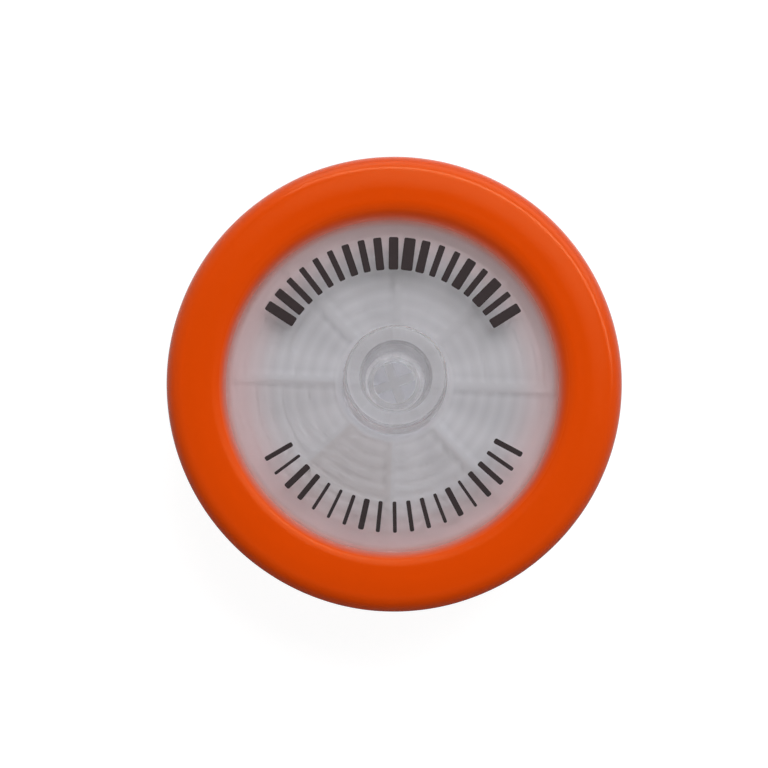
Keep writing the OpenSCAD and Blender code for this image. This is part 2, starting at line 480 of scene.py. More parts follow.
def turned_tree():
    """Geometry tree that turns a section round the axis and gives its faces slow waves."""
    graph, inputs, output = geometry_tree(
        "turned_section", {"Int": ("Steps",), "Float": ("Wave height", "Waves per metre")}
    )
    circle = graph.field("GeometryNodeCurvePrimitiveCircle", {"Resolution": inputs["Steps"]})
    turn = graph.field("GeometryNodeInputIndex") / inputs["Steps"] * math.tau
    swept = sweep(graph, inputs["Geometry"], store(graph, circle, "turn", turn))
    turned = set_polar(graph, swept, named(graph, "reach"), named(graph, "turn"), named(graph, "height"))
    waves = graph.field("ShaderNodeTexNoise", {"Scale": inputs["Waves per metre"]})
    rise = waves.sway(inputs["Wave height"]) * named(graph, "wave")
    offset = scaled(graph, graph.field("GeometryNodeInputNormal"), rise)
    waved = moved(graph, merged(graph, turned), Offset=offset)
    return finish_tree(graph, output, waved, inputs["Material"])


def flow_face_tree():
    """Geometry tree that turns a shell's section and cuts its radial channels, and stores the plastic's tones
    with painted light and shade.

    Columns run along the channels, closely spaced beside them and evenly between them.
    """
    graph, inputs, output = geometry_tree(
        "flow_face",
        {
            "Int": ("Channels", "Near columns", "Far columns"),
            "Float": ("Angle", "Width", "Floor", "Rib end", "Softness", "Near width", "Channel milk")
            + ("Painted channel light", "Light angle", "Painted glow angle", "Painted lip glow"),
        },
    )
    half = inputs["Near columns"] + inputs["Far columns"]
    sector = half * 2
    circle = graph.field("GeometryNodeCurvePrimitiveCircle", {"Resolution": sector * inputs["Channels"]})
    index = graph.field("GeometryNodeInputIndex")
    # the columns of a sector lie on both sides of its channel
    nearest = ((index + half) / sector).math("FLOOR")
    beside = index - nearest * sector
    side = beside.math("SIGN")
    step = beside.math("ABSOLUTE")
    near = (step / inputs["Near columns"]).math("MINIMUM", 1.0)
    far = ((step - inputs["Near columns"]) / inputs["Far columns"]).math("MAXIMUM", 0.0)
    half_angle = inputs["Channels"].math("POWER", -1.0) * math.pi
    path = store(graph, circle, "channel", nearest * half_angle * 2.0 + inputs["Angle"])
    path = store(graph, path, "near", side * near * (1.0 - far))
    path = store(graph, path, "swing", side * far * half_angle)
    path = store(graph, path, "hand", side)
    swept = sweep(graph, inputs["Geometry"], path)

    reach, height, channel = (named(graph, name) for name in ("reach", "height", "channel"))
    near_angle = (inputs["Near width"] / reach).math("MINIMUM", half_angle * 0.5)
    off = named(graph, "swing") + named(graph, "near") * near_angle
    aside = (reach * off.math("SINE")).math("ABSOLUTE")
    # a rib's end is round: its middle reaches further into the channel than its flanks
    flank = named(graph, "flank")
    round_end = 1.0 - (1.0 - flank * flank).math("SQRT")
    edge = inputs["Width"] * 0.5 + round_end * inputs["Rib end"]
    cut = 1.0 - aside.between(edge - inputs["Softness"], edge + inputs["Softness"])
    depth = (inputs["Floor"] - height) * cut * named(graph, "flow")
    milk = named(graph, "milk")
    seen = named(graph, "seen")
    lost = (milk - inputs["Channel milk"]) * cut
    # painted light and shade: the side of a channel that faces the light is made brighter, the other side
    # darker
    facing = ((channel - inputs["Light angle"]) * -1.0).math("SINE")
    painted_channel_light = (named(graph, "near") * math.pi).math("SINE") * facing * inputs["Painted channel light"]
    # painted highlight: the clear hub's lip is made brighter on the far side from the lamps, where light
    # gathers in it
    far_side = (channel + off - inputs["Light angle"] - inputs["Painted glow angle"]).math("COSINE")
    painted_lip_glow = named(graph, "lip") * far_side.math("MAXIMUM", 0.0) * inputs["Painted lip glow"]
    swept = store(graph, swept, "milk", milk - (lost - painted_channel_light) * seen + painted_lip_glow)
    # painted shade: a sector on the far side from the light is made darker as a whole
    middle = channel + named(graph, "hand") * half_angle
    away = (middle - inputs["Light angle"]).math("COSINE").math("MINIMUM", 0.0)
    swept = store(graph, swept, "away", (away * away * away * -1.0) * seen)
    turned = set_polar(graph, swept, reach, channel + off, height + depth)
    return finish_tree(graph, output, turned, inputs["Material"])


def printed_row_tree():
    """Geometry tree that sets upright bars of mixed widths along an arc."""
    graph, inputs, output = geometry_tree(
        "printed_row",
        {
            "Int": ("Count", "Seed"),
            "Float": ("Radius", "Start", "Sweep", "Height", "Narrow", "Wide", "Corner", "Thickness", "Level"),
            "Vector": ("Shift",),
        },
    )
    outline = graph.field(
        "GeometryNodeCurvePrimitiveQuadrilateral", {"Width": inputs["Wide"], "Height": inputs["Height"]}
    )
    corners = {"Curve": outline, "Radius": inputs["Corner"], "Count": CORNER_STEPS}
    rounded = graph.field("GeometryNodeFilletCurve", corners, mode="POLY")
    face = graph.field("GeometryNodeFillCurve", {"Curve": rounded}, mode="NGONS")
    raised = graph.field(
        "GeometryNodeExtrudeMesh", {"Mesh": face, "Offset Scale": inputs["Thickness"], "Individual": False}
    )
    underside = graph.field("GeometryNodeFlipFaces", {"Mesh": face})
    joined = graph.add("GeometryNodeJoinGeometry", {0: underside})
    graph.feed(joined, {0: raised})
    bar = merged(graph, Field(graph, joined.outputs[0]))
    line = graph.field("GeometryNodeMeshLine", {"Count": inputs["Count"]})
    index = graph.field("GeometryNodeInputIndex")
    turn = inputs["Start"] + index / (inputs["Count"] - 1.0) * inputs["Sweep"]
    row = set_polar(graph, line, inputs["Radius"], turn, inputs["Level"])
    # inputs 2 and 3 are the least and the greatest share of the full width
    widths = {2: inputs["Narrow"] / inputs["Wide"], 3: 1.0, "Seed": inputs["Seed"]}
    share = graph.field("FunctionNodeRandomValue", widths, 1, data_type="FLOAT")
    placed = {
        "Points": moved(graph, row, Offset=inputs["Shift"]),
        "Instance": bar,
        "Rotation": graph.field("ShaderNodeCombineXYZ", {"Z": turn - math.pi / 2}),
        "Scale": graph.field("ShaderNodeCombineXYZ", {"X": share, "Y": 1.0, "Z": 1.0}),
    }
    bars = graph.field("GeometryNodeInstanceOnPoints", placed)
    return finish_tree(graph, output, bars, inputs["Material"])


# Sections of the pieces


def filleted(corners, steps=CORNER_STEPS):
    """Rounds the corners (radius, height, fillet) of a closed section. Returns its points."""
    points = []
    for index, (x, z, fillet) in enumerate(corners):
        corner = Vector((x, z))
        if fillet <= 0:
            points.append(corner)
            continue
        before = (Vector(corners[index - 1][:2]) - corner).normalized()
        after = (Vector(corners[(index + 1) % len(corners)][:2]) - corner).normalized()
        half = before.angle(after) / 2
        reach = fillet / math.tan(half)
        centre = corner + (before + after).normalized() * (fillet / math.sin(half))
        start = corner + before * reach - centre
        end = corner + after * reach - centre
        turn = start.angle_signed(end)
        for step in range(steps + 1):
            spoke = -turn * step / steps
            cosine, sine = math.cos(spoke), math.sin(spoke)
            spot = Vector((start.x * cosine - start.y * sine, start.x * sine + start.y * cosine))
            points.append(centre + spot)
    return points


def levels(looks):
    """Heights that the sections share: the discs' outer and inner faces."""
    disc = looks.shell.disc_thickness
    low, high = RING_LOW.z + looks.ring.proud, RING_HIGH.z - looks.ring.proud
    return {"low": low, "high": high, "low_in": low + disc, "high_in": high - disc}


def rib_corners(flow, first, ribs, root, tip):
    """Corners of the concentric ribs from the inside outwards."""
    foot, top = flow.rib_root / 2, flow.rib_tip / 2
    return [
        (first + index * flow.rib_pitch + aside, height, flow.rib_round)
        for index in range(ribs)
        for aside, height in ((-foot, root), (-top, tip), (top, tip), (foot, root))
    ]


def channel_end_corners(flow, root):
    """Points on both sides of the channels' outer end."""
    return [(flow.channel_end - flow.rib_round, root, 0), (flow.channel_end, root, 0)]


def face_corners(flow, first, ribs, face, foot):
    """Corners at every quarter of a pitch across a disc's outer face, from the foot outwards."""
    radii = [first + step * flow.rib_pitch / 4 for step in range(-2, ribs * 4 - 1)]
    return [(radius, face, 0) for radius in radii if radius > foot]


def flow_attributes(points, looks, first, face, root, tip):
    """For each point: whether channels cut it or show on it, its place on its rib, its milkiness, and whether
    it lies on the lip that gets a painted highlight.
    """
    shell, flow, hub = looks.shell, looks.flow, looks.hub
    low, high = min(root, tip) - TINY, max(root, tip) + TINY
    rows = []
    for radius, height in points:
        inside = flow.flare_radius <= radius < flow.channel_end - TINY
        outer = abs(height - face) < TINY
        cut = inside and low <= height <= high
        nearest = max(round((radius - first) / flow.rib_pitch), 0)
        aside = abs(radius - first - nearest * flow.rib_pitch)
        flank = min(aside / (flow.rib_root / 2), 1.0)
        mouth = height > INLET_TOP - hub.edge_radius - TINY
        lip = mouth and radius > hub.radius - hub.edge_radius * MOUTH_LIP
        milk = shell.hub_milk if mouth else 1.0
        if outer and hub.radius < radius < flow.channel_end + flow.rib_pitch / 2:
            # milky over the middle of a rib, clear between two ribs
            milk = 0.5 + 0.5 * math.cos((radius - first) / flow.rib_pitch * math.tau)
        rows.append((float(cut), float(outer and inside), flank, milk, float(lip)))
    return dict(zip(("flow", "seen", "flank", "milk", "lip"), zip(*rows)))


def inlet_section(looks):
    """Closed section of the inlet half, with its flow attributes."""
    shell, flow, hub = looks.shell, looks.flow, looks.hub
    level = levels(looks)
    top, inner, soft = level["high"], level["high_in"], shell.soft_edge
    clamp, mouth = MEMBRANE_HIGH.z, INLET_TOP
    tip = clamp + flow.rib_gap
    foot = mouth - hub.socket_depth
    pocket = MEMBRANE_HIGH.x + shell.pocket_gap
    socket_foot = hub.socket_radius - hub.taper / 2 * hub.socket_depth
    lead_in = hub.socket_radius - hub.taper / 2 * hub.chamfer
    foot_end = hub.radius + hub.draft + hub.fillet_radius
    ribs = (flow, flow.inlet_rib_radius, flow.inlet_rib_count)
    points = filleted(
        [
            (pocket, clamp, soft),
            (pocket, inner, 0),
            (shell.rim_radius, inner, soft),
            (shell.rim_radius, top - shell.grip_step, soft),
            (shell.grip_radius, top - shell.grip_step, 0),
            (shell.grip_radius, top, soft),
            *reversed(face_corners(*ribs, top, foot_end)),
            (hub.radius + hub.draft, top, hub.fillet_radius),
            (hub.radius, mouth, hub.edge_radius),
            (hub.socket_radius + hub.chamfer, mouth, soft),
            (lead_in, mouth - hub.chamfer, soft),
            (socket_foot, foot, soft),
            (hub.bore_radius, foot, soft),
            (hub.bore_radius, top, soft),
            (flow.flare_radius, inner, soft),
            *rib_corners(*ribs, inner, tip),
            *channel_end_corners(flow, inner),
            (shell.seat_radius, inner, 0),
            (shell.seat_radius, clamp, soft),
        ]
    )
    return points, flow_attributes(points, looks, flow.inlet_rib_radius, top, inner, tip)


def outlet_section(looks):
    """Closed section of the outlet half, with its flow attributes."""
    shell, flow, nozzle = looks.shell, looks.flow, looks.nozzle
    level = levels(looks)
    bottom, inner, wall_top, soft = level["low"], level["low_in"], level["high_in"], shell.soft_edge
    clamp = MEMBRANE_LOW.z
    pocket = MEMBRANE_HIGH.x + shell.pocket_gap
    root = nozzle.radius + looks.hub.taper / 2 * bottom
    ribs = (flow, flow.drain_rib_radius, flow.drain_rib_count)
    points = filleted(
        [
            (shell.seat_radius, clamp, soft),
            (shell.seat_radius, inner, 0),
            *reversed(channel_end_corners(flow, inner)),
            *reversed(rib_corners(*ribs, inner, clamp)),
            (flow.flare_radius, inner, soft),
            (nozzle.bore_radius, bottom, soft),
            (nozzle.bore_radius, nozzle.chamfer, soft),
            (nozzle.bore_radius + nozzle.chamfer, 0, 0),
            (nozzle.radius, 0, nozzle.edge_radius),
            (root, bottom, nozzle.fillet_radius),
            *face_corners(*ribs, bottom, root + nozzle.fillet_radius),
            (shell.grip_radius, bottom, soft),
            (shell.grip_radius, bottom + shell.grip_step, 0),
            (shell.rim_radius, bottom + shell.grip_step, soft),
            (shell.rim_radius, wall_top, soft),
            (pocket, wall_top, soft),
            (pocket, clamp, 0),
        ]
    )
    return points, flow_attributes(points, looks, flow.drain_rib_radius, bottom, inner, clamp)


def lip_corners(ring, face, top):
    """Corners of a lip, from its feathered toe on the window up to the ring's face."""
    rounds = abs(top - face) / (1 - math.cos(ring.lip_slope))
    lip_round = rounds - ring.toe_round
    outside = ring.toe_radius + rounds * math.sin(ring.lip_slope)
    up = math.copysign(1.0, top - face)
    slopes = [ring.lip_slope * step / LIP_STEPS for step in range(LIP_STEPS + 1)]
    corners = []
    for slope in slopes:
        rise = ring.toe_round * (1 - math.cos(slope))
        corners.append((ring.toe_radius + ring.toe_round * math.sin(slope), face + up * rise, 0))
    for slope in reversed(slopes[:-1]):
        drop = lip_round * (1 - math.cos(slope))
        corners.append((outside - lip_round * math.sin(slope), top - up * drop, 0))
    return corners


def ring_section(looks):
    """Closed section of the ring. It overlaps the rim by the bond, as moulded-on plastic does."""
    ring, shell = looks.ring, looks.shell
    level = levels(looks)
    low, high, outside = RING_LOW.z, RING_HIGH.z, RING_HIGH.x
    corners = [
        *lip_corners(ring, level["low"], low),
        (ring.crown_radius, low, ring.crown_round),
        (outside, low + ring.crown_drop, ring.edge_radius),
        (outside, high - ring.crown_drop, ring.edge_radius),
        (ring.crown_radius, high, ring.crown_round),
        *reversed(lip_corners(ring, level["high"], high)),
    ]
    visible = len(corners)
    for face, inwards in ((level["high"], -1), (level["low"], 1)):
        window, grip = face + inwards * BOND, face + inwards * (shell.grip_step + BOND)
        step = [
            (ring.toe_radius, window, 0),
            (shell.grip_radius - BOND, window, 0),
            (shell.grip_radius - BOND, grip, 0),
            (shell.rim_radius - BOND, grip, 0),
        ]
        corners += step if inwards < 0 else reversed(step)
    points = filleted(corners, RING_CORNER_STEPS)
    hidden = len(corners) - visible
    return points, {"wave": [1.0] * (len(points) - hidden) + [0.0] * hidden}


def membrane_section(looks):
    """Closed section of the membrane, which the clamp faces squeeze by the bond."""
    seat = looks.shell.seat_radius
    radii = [seat * index / FILM_RINGS for index in range(FILM_RINGS + 1)] + [MEMBRANE_HIGH.x]
    top = [Vector((radius, MEMBRANE_HIGH.z + BOND / 2)) for radius in radii]
    bottom = [Vector((radius, MEMBRANE_LOW.z - BOND / 2)) for radius in reversed(radii)]
    points = top + bottom
    return points, {"wave": [float(point.x < seat) for point in points]}


# Meshes


def new_piece(name, mesh):
    """Links a new object at the origin."""
    piece = bpy.data.objects.new(name, mesh)
    bpy.context.scene.collection.objects.link(piece)
    return piece


def section_piece(name, section):
    """A piece that holds its section: a closed line of edges in the XZ plane, with float attributes."""
    points, attributes = section
    mesh = bpy.data.meshes.new(name)
    edges = [(index, (index + 1) % len(points)) for index in range(len(points))]
    mesh.from_pydata([(point[0], 0.0, point[1]) for point in points], edges, [])
    for label, values in attributes.items():
        mesh.attributes.new(label, "FLOAT", "POINT").data.foreach_set("value", values)
    return new_piece(name, mesh)


def cross_mesh(name, looks, levels_and_radii):
    """A closed cross of two bars whose ends follow a round hole, from (height, radius) levels."""
    flow = looks.flow
    half = flow.web_width / 2
    bm = bmesh.new()
    loops = []
    for height, radius in levels_and_radii:
        spoke = radius - BOND
        end = math.asin(half / spoke)
        spots = []
        for arm in range(4):
            turn = flow.channel_angle + math.pi / flow.channel_count + arm * math.tau / 4
            for step in range(CROSS_STEPS + 1):
                spots.append((spoke, turn + end * (2 * step / CROSS_STEPS - 1)))
            spots.append((half * math.sqrt(2), turn + math.tau / 8))
        loops.append([bm.verts.new((r * math.cos(a), r * math.sin(a), height)) for r, a in spots])
    around = len(loops[0])
    sides = [(index, (index + 1) % around) for index in range(around)]
    for lower, upper in zip(loops, loops[1:]):
        for here, there in sides:
            bm.faces.new((lower[here], lower[there], upper[there], upper[here]))
    for loop in (loops[0], loops[-1]):
        middle = bm.verts.new((0.0, 0.0, loop[0].co.z))
        for here, there in sides:
            bm.faces.new((loop[here], loop[there], middle))
    bmesh.ops.recalc_face_normals(bm, faces=bm.faces)
    mesh = bpy.data.meshes.new(name)
    bm.to_mesh(mesh)
    bm.free()
    milk = mesh.attributes.new("milk", "FLOAT", "POINT")
    milk.data.foreach_set("value", [looks.shell.cross_milk] * len(mesh.vertices))
    return mesh


def clean(piece, *extra):
    """Merges doubles, turns the faces outwards, adds other closed meshes and shades the piece smooth."""
    mesh = piece.data
    bm = bmesh.new()
    bm.from_mesh(mesh)
    bmesh.ops.remove_doubles(bm, verts=bm.verts, dist=DOUBLES)
    bmesh.ops.recalc_face_normals(bm, faces=bm.faces)
    for other in extra:
        bm.from_mesh(other)
    layers = bm.verts.layers.float
    for label in layers.keys():
        if label not in ("milk", "away"):
            layers.remove(layers[label])
    bm.to_mesh(mesh)
    bm.free()
    mesh.polygons.foreach_set("use_smooth", [True] * len(mesh.polygons))
    mesh.set_sharp_from_angle(angle=SHARP_ANGLE)
    mesh.update()


def place(piece, node):
    """Makes a finished piece ride on the body and stand for its CAD node, which it hides."""
    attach(piece, BODY)
    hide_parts(node)


# Materials


def new_material(name):
    """A material with one Principled shader. Returns the material, its graph and the shader."""
    material = bpy.data.materials.new(name)
    material.use_nodes = True
    graph = Graph(material.node_tree)
    output = graph.add("ShaderNodeOutputMaterial")
    shader = graph.add("ShaderNodeBsdfPrincipled")
    graph.feed(output, {"Surface": Field(graph, shader.outputs[0])})
    return material, graph, shader


def own_place(graph):
    """Coordinates of the piece itself."""
    return graph.field("ShaderNodeTexCoord", output="Object")


def noise(graph, scale, detail=2.0, distortion=0.0):
    """Noise from 0 to 1 that lies fixed in the piece."""
    inputs = {"Vector": own_place(graph), "Scale": scale, "Detail": detail, "Distortion": distortion}
    return graph.field("ShaderNodeTexNoise", inputs)


def ray(graph, kind):
    """1 for rays of a kind, such as Is Glossy Ray."""
    return graph.field("ShaderNodeLightPath", output=kind)


def blended(graph, factor, colour_a, colour_b, blend_type="MIX"):
    """Colour A turned into colour B by a factor."""
    inputs = {"Factor": factor, "A": colour_a, "B": (*colour_b, 1.0)}
    return graph.field("ShaderNodeMix", inputs, "Result", data_type="RGBA", blend_type=blend_type)


def stored(graph, name):
    """A float attribute of the piece's mesh, for a material."""
    return graph.field("ShaderNodeAttribute", output="Fac", attribute_name=name)


def bumped(graph, height, depth):
    """A normal bent by a height from 0 to 1."""
    return graph.field("ShaderNodeBump", {"Strength": 1.0, "Distance": depth, "Height": height})


def moulded_finish():
    """Shader group for moulded plastic, made once: slow mottle of colour, gloss patches, fine grain."""
    name = "moulded_finish"
    if name in bpy.data.node_groups:
        return bpy.data.node_groups[name]
    amounts = ("Mottle", "Mottles per metre", "Roughness", "Gloss patches", "Grains per metre")
    graph, inputs, output = node_group(
        name,
        "ShaderNodeTree",
        {"Color": ("Colour",), "Float": amounts},
        {"Color": ("Colour",), "Float": ("Roughness", "Height")},
    )
    mottle = noise(graph, inputs["Mottles per metre"], detail=3.0)
    patches = noise(graph, inputs["Mottles per metre"] * PATCHES_PER_MOTTLE)
    results = {
        "Colour": scaled(graph, inputs["Colour"], mottle.sway(inputs["Mottle"]) * 2.0 + 1.0),
        "Roughness": inputs["Roughness"] + patches.sway(inputs["Gloss patches"]),
        "Height": noise(graph, inputs["Grains per metre"], detail=4.0),
    }
    graph.feed(output, results)
    return graph.tree


def use_finish(graph, shader, values, grain, constants):
    """Feeds a shader from the moulded finish, and sets its constants."""
    finish = graph.add("ShaderNodeGroup", values, node_tree=moulded_finish())
    tone, rough, height = (Field(graph, finish.outputs[name]) for name in ("Colour", "Roughness", "Height"))
    normal = bumped(graph, height, grain)
    graph.feed(shader, {"Base Color": tone, "Roughness": rough, "Normal": normal, **constants})


def orange_plastic(graph, shader, finish, tone, roughness):
    """Feeds a shader with the ring's satin plastic."""
    values = {"Colour": tone, "Roughness": roughness, **RING_FINISH}
    constants = {"IOR": 1.49, "Specular IOR Level": 0.35, "Specular Tint": (*finish.ring_gloss, 1.0)}
    use_finish(graph, shader, values, RING_GRAIN, constants)


def ring_plastic(finish):
    """Satin orange plastic."""
    material, graph, shader = new_material("satin_ring")
    orange_plastic(graph, shader, finish, (*finish.ring, 1.0), RING_ROUGHNESS)
    return material


def reach_from_axis(graph, shift=(0.0, 0.0, 0.0)):
    """Distance from the flow axis, or from a line beside it."""
    shifted = graph.field("ShaderNodeVectorMath", {0: own_place(graph), 1: shift}, operation="SUBTRACT")
    flat = graph.field("ShaderNodeVectorMath", {0: shifted, 1: (1.0, 1.0, 0.0)}, operation="MULTIPLY")
    return graph.field("ShaderNodeVectorMath", {0: flat}, "Value", operation="LENGTH")


def toe_plastic(looks):
    """The ring's feathered toe, where the milky window shows through the thin orange plastic."""
    finish, ring = looks.finish, looks.ring
    material, graph, shader = new_material("feathered_toe")
    seam = ring.feather_end
    shift = Vector(ring.toe_shift)
    reach = reach_from_axis(graph, tuple(shift))
    feather = reach.between(seam - TOE_FEATHER, seam)
    tone = blended(graph, feather, (*finish.toe, 1.0), finish.ring)
    orange_plastic(graph, shader, finish, tone, TOE_ROUGHNESS)
    # the tone counts on the way into the thin plastic, not again on the way out
    outwards = graph.field("ShaderNodeNewGeometry", output="Backfacing")
    start = ring.toe_radius + shift.length
    passing = ray(graph, "Is Shadow Ray") * TOE_SHADOW
    cover = reach.between(start, seam - TOE_COVERED) * (1.0 - outwards) * (1.0 - passing)
    graph.feed(shader, {"Alpha": cover})
    return material


def shell_plastic(finish):
    """Milky, see-through plastic, made once: darker where it is thin, with painted light and shade, and an
    orange tint beside the ring that is partly painted light.
    """
    name = "milky_shell"
    if name in bpy.data.materials:
        return bpy.data.materials[name]
    material, graph, shader = new_material(name)
    # the stored milk tone also carries the painted light and shade of the flow face
    thickness = stored(graph, "milk") * (1.0 - finish.thin) + finish.thin
    plain = scaled(graph, tuple(finish.shell), thickness)
    # painted shade on the sectors on the far side from the lamps
    shaded = blended(graph, stored(graph, "away"), plain, finish.shade, "MULTIPLY")
    # partly the orange ring showing through, partly painted orange light from it
    beside_ring = reach_from_axis(graph).between(*RIM_TINT_REACH)
    hub = part_of(graph, own_place(graph), "Z").between(*HUB_START)
    values = {
        "Colour": blended(graph, beside_ring, shaded, finish.rim_tint),
        "Roughness": hub * (HUB_ROUGHNESS - DISC_ROUGHNESS) + DISC_ROUGHNESS,
        **SHELL_FINISH,
    }
    use_finish(graph, shader, values, SHELL_GRAIN, {"IOR": 1.27, "Transmission Weight": 0.84})
    graph.feed(shader, {"Alpha": 1.0 - ray(graph, "Is Shadow Ray") * SHELL_SHADOW})
    return material


def membrane_film(finish):
    """Matt porous film with a fine fibrous grain."""
    material, graph, shader = new_material("porous_film")
    fibres = noise(graph, FIBRES_PER_METRE, detail=5.0, distortion=1.2)
    tone = fibres.sway(FIBRE_TONE) + noise(graph, CLOUDS_PER_METRE).sway(CLOUD_TONE) + 1.0
    film = {
        "Base Color": scaled(graph, tuple(finish.membrane), tone),
        "Normal": bumped(graph, fibres, FIBRE_DEPTH),
        "Roughness": 0.85,
        "Specular IOR Level": 0.25,
    }
    graph.feed(shader, film)
    return material


def printing_ink(finish):
    """Pad-printed ink, slightly uneven in depth."""
    material, graph, shader = new_material("printing_ink")
    cover = noise(graph, INK_SPECKS_PER_METRE, detail=3.0)
    tone = scaled(graph, tuple(finish.ink), cover.sway(INK_TONE) + 1.0)
    graph.feed(shader, {"Base Color": tone, "Roughness": cover * INK_DRY + INK_ROUGHNESS})
    return material


# Studio


def bright_side(graph, direction):
    """1 towards the lamps and low on the far side of the room, for what is mirrored."""
    toward = graph.field("ShaderNodeVectorMath", {0: direction}, operation="NORMALIZE")
    side = graph.field("ShaderNodeVectorMath", {0: toward, 1: LIGHT_SIDE}, "Value", operation="DOT_PRODUCT")
    return side.between(*LIGHT_SIDE_SPAN) * (1.0 - DARK_SIDE) + DARK_SIDE


def studio_floor():
    """Pale floor that looks white to the camera and to glass, and still takes a shadow."""
    material = bpy.data.materials.new("studio_floor")
    material.use_nodes = True
    graph = Graph(material.node_tree)
    output = graph.add("ShaderNodeOutputMaterial")
    mirrored = ray(graph, "Is Glossy Ray")
    seen = ray(graph, "Is Camera Ray").math("MAXIMUM", mirrored * bright_side(graph, own_place(graph)))
    seen = seen.math("MAXIMUM", ray(graph, "Is Transmission Ray"))
    tone = mirrored * (FLOOR_MIRRORED - FLOOR_TONE) + FLOOR_TONE
    plain = graph.field("ShaderNodeBsdfDiffuse", {"Color": tone})
    thin = graph.field("ShaderNodeBsdfDiffuse", {"Color": FLOOR_SHADOW_COLOUR})
    glow = graph.field("ShaderNodeEmission", {"Color": WHITE, "Strength": FLOOR_GLOW})
    white = graph.field("ShaderNodeAddShader", {0: thin, 1: glow})
    graph.feed(output, {"Surface": graph.field("ShaderNodeMixShader", {0: seen, 1: plain, 2: white})})
    return material


def studio_sky(scene):
    """White to the camera, and a low, even fill for the object."""
    world = bpy.data.worlds.new("studio_sky")
    scene.world = world
    world.use_nodes = True
    graph = Graph(world.node_tree)
    output = graph.add("ShaderNodeOutputWorld")
    direction = graph.field("ShaderNodeTexCoord", output="Generated")
    height = part_of(graph, direction, "Z")
    horizon = 1.0 - height.between(*SKY_RISE)
    mirrored = ray(graph, "Is Glossy Ray")
    low = mirrored * (SKY_MIRRORED - SKY_HORIZON) + SKY_HORIZON
    fill = horizon * (low - SKY_ZENITH) + SKY_ZENITH
    # light that the membrane sends out again through the shell has been counted on its way in
    direct = ray(graph, "Diffuse Depth").math("LESS_THAN", 0.5)
    through = ray(graph, "Is Transmission Ray")
    spent = through * (1.0 - direct)
    seen = (through * direct).math("MAXIMUM", mirrored * bright_side(graph, direction)) * horizon
    seen = seen.math("MAXIMUM", ray(graph, "Is Camera Ray"))
    strength = ((1.0 - fill) * seen + fill) * (1.0 - spent)
    # the camera's own dark reflection, straight above
    overhead = height.between(*SKY_OVERHEAD) * mirrored
    strength = strength * (1.0 - overhead * OVERHEAD_DARK)
    sky = graph.field("ShaderNodeBackground", {"Color": WHITE, "Strength": strength})
    graph.feed(output, {"Surface": sky})


def aimed(name, data, target, back, distance, turn):
    """Links a lamp or a camera that looks against back, at a target."""
    holder = new_piece(name, data)
    holder.location = target + back * distance
    holder.rotation_mode = "QUATERNION"
    holder.rotation_quaternion = turn
    return holder


def area_lamp(name, placing, power):
    """A lamp aimed at the disc, out of the camera's sight."""
    azimuth, elevation = math.radians(placing[0]), math.radians(placing[1])
    lamp = bpy.data.lights.new(name, "AREA")
    lamp.shape = "RECTANGLE"
    lamp.size, lamp.size_y = placing[2:]
    lamp.energy = power
    flat = math.cos(elevation)
    back = Vector((flat * math.cos(azimuth), flat * math.sin(azimuth), math.sin(elevation)))
    target = Vector((0.0, 0.0, RING_HIGH.z))
    holder = aimed(name, lamp, target, back, LAMP_DISTANCE, back.to_track_quat("Z", "Y"))
    holder.visible_camera = False
    holder.visible_transmission = False
    return holder


def studio_camera(studio):
    """A camera above the disc, tilted to one side, with +Y up in its view."""
    camera = bpy.data.cameras.new("camera")
    camera.lens = studio.camera_lens
    camera.sensor_width = 36.0
    camera.clip_start = 0.01
    side = Vector(CAMERA_SIDE).normalized()
    lean = math.sin(studio.camera_tilt)
    back = Vector((-lean * side.x, -lean * side.y, math.cos(studio.camera_tilt)))
    across = Vector((0.0, 1.0, 0.0)).cross(back).normalized()
    turn = Matrix((across, back.cross(across), back)).transposed().to_quaternion()
    return aimed("camera", camera, Vector(CAMERA_TARGET), back, studio.camera_distance, turn)


# Operators


def build_shell(name, looks, section, channel_floor, cross, node):
    """Turns a half of the housing with its flow face and joins its cross."""
    flow = looks.flow
    shell = section_piece(name, section)
    tree = bpy.data.node_groups.get("flow_face") or flow_face_tree()
    values = {
        "Channels": flow.channel_count,
        "Angle": flow.channel_angle,
        "Width": flow.channel_width,
        "Floor": channel_floor,
        "Rib end": flow.rib_end_round,
        "Material": shell_plastic(looks.finish),
        **FLOW_FACE,
    }
    run_tree(shell, tree, values)
    clean(shell, cross)
    bpy.data.meshes.remove(cross)
    place(shell, node)


class FilterOperator:
    """What every operator of the add-on shares."""

    bl_options = {"REGISTER", "UNDO"}

    @property
    def looks(self):
        return bpy.context.scene.filter_looks


class FILTER_OT_grip_ring(FilterOperator, Operator):
    """Overmoulded orange ring, turned from its section"""

    bl_idname = "syringe_filter.grip_ring"
    bl_label = "Grip ring"

    def execute(self, context):
        looks = self.looks
        ring = section_piece("grip_ring", ring_section(looks))
        values = {"Steps": looks.ring.steps, "Material": ring_plastic(looks.finish), **RING_WAVES}
        run_tree(ring, turned_tree(), values)
        clean(ring)
        ring.data.materials.append(toe_plastic(looks))
        for face in ring.data.polygons:
            if face.center.xy.length < looks.ring.feather_end:
                face.material_index = 1
        place(ring, "overmould_ring")
        return {"FINISHED"}


